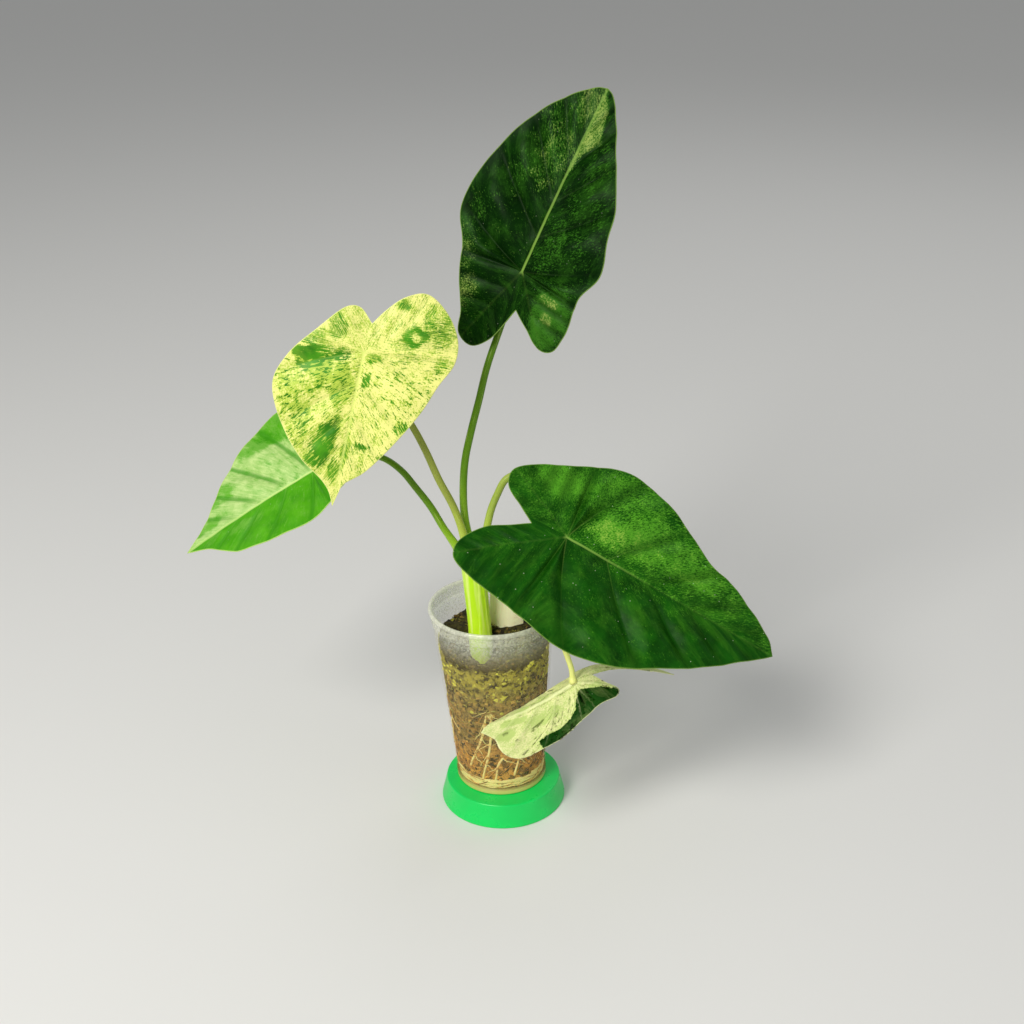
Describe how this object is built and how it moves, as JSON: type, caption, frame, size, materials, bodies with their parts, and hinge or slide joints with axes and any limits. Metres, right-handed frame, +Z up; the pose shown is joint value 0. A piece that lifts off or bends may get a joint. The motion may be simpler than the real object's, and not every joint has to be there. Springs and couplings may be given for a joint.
{
  "type": "potted batik alocasia odora",
  "caption": "Young batik-variegated alocasia: sagittate leaves on arching stalks from one pseudostem, potted in a frosted clear plastic cup on a green round base.",
  "frame": {"origin": "middle of the green base's flat underside, on the surface that the object stands on", "axes": "+Z up, +Y away from the viewer of the plant's front, +X to the viewer's right"},
  "size_m": [0.418, 0.1787, 0.5256],
  "materials": {
    "green_plastic": "smooth moulded gloss",
    "frosted_cup": "translucent, frosted by haze and condensation",
    "bark_moss": "loose fibrous bark and moss, matt",
    "root": "smooth, slightly waxy",
    "stem_green": "smooth, moist satin",
    "stalk_dark": "smooth satin",
    "stalk_pale": "smooth satin",
    "stalk_yellow": "smooth satin",
    "leaf_dark": "satin leaf skin, speckled",
    "leaf_cream": "satin leaf skin, green batik flecks",
    "leaf_half": "satin leaf skin, half pale and half green",
    "leaf_pale": "matt pale underside of a leaf",
    "dry_sheath": "papery, matt"
  },
  "bodies": {
    "root": {"base": "green_plastic", "cup": "frosted_cup", "moss_fill": "bark_moss", "roots": "root", "pseudostem": "stem_green", "petiole_top": "stalk_dark", "blade_top": "leaf_dark", "petiole_cream": "stalk_pale", "blade_cream": "leaf_cream", "petiole_left": "stalk_dark", "blade_left": "leaf_half", "petiole_front": "stalk_pale", "blade_front": "leaf_dark", "petiole_low": "stalk_yellow", "blade_low": "leaf_pale", "old_sheath": "dry_sheath"}
  },
  "joints": []
}
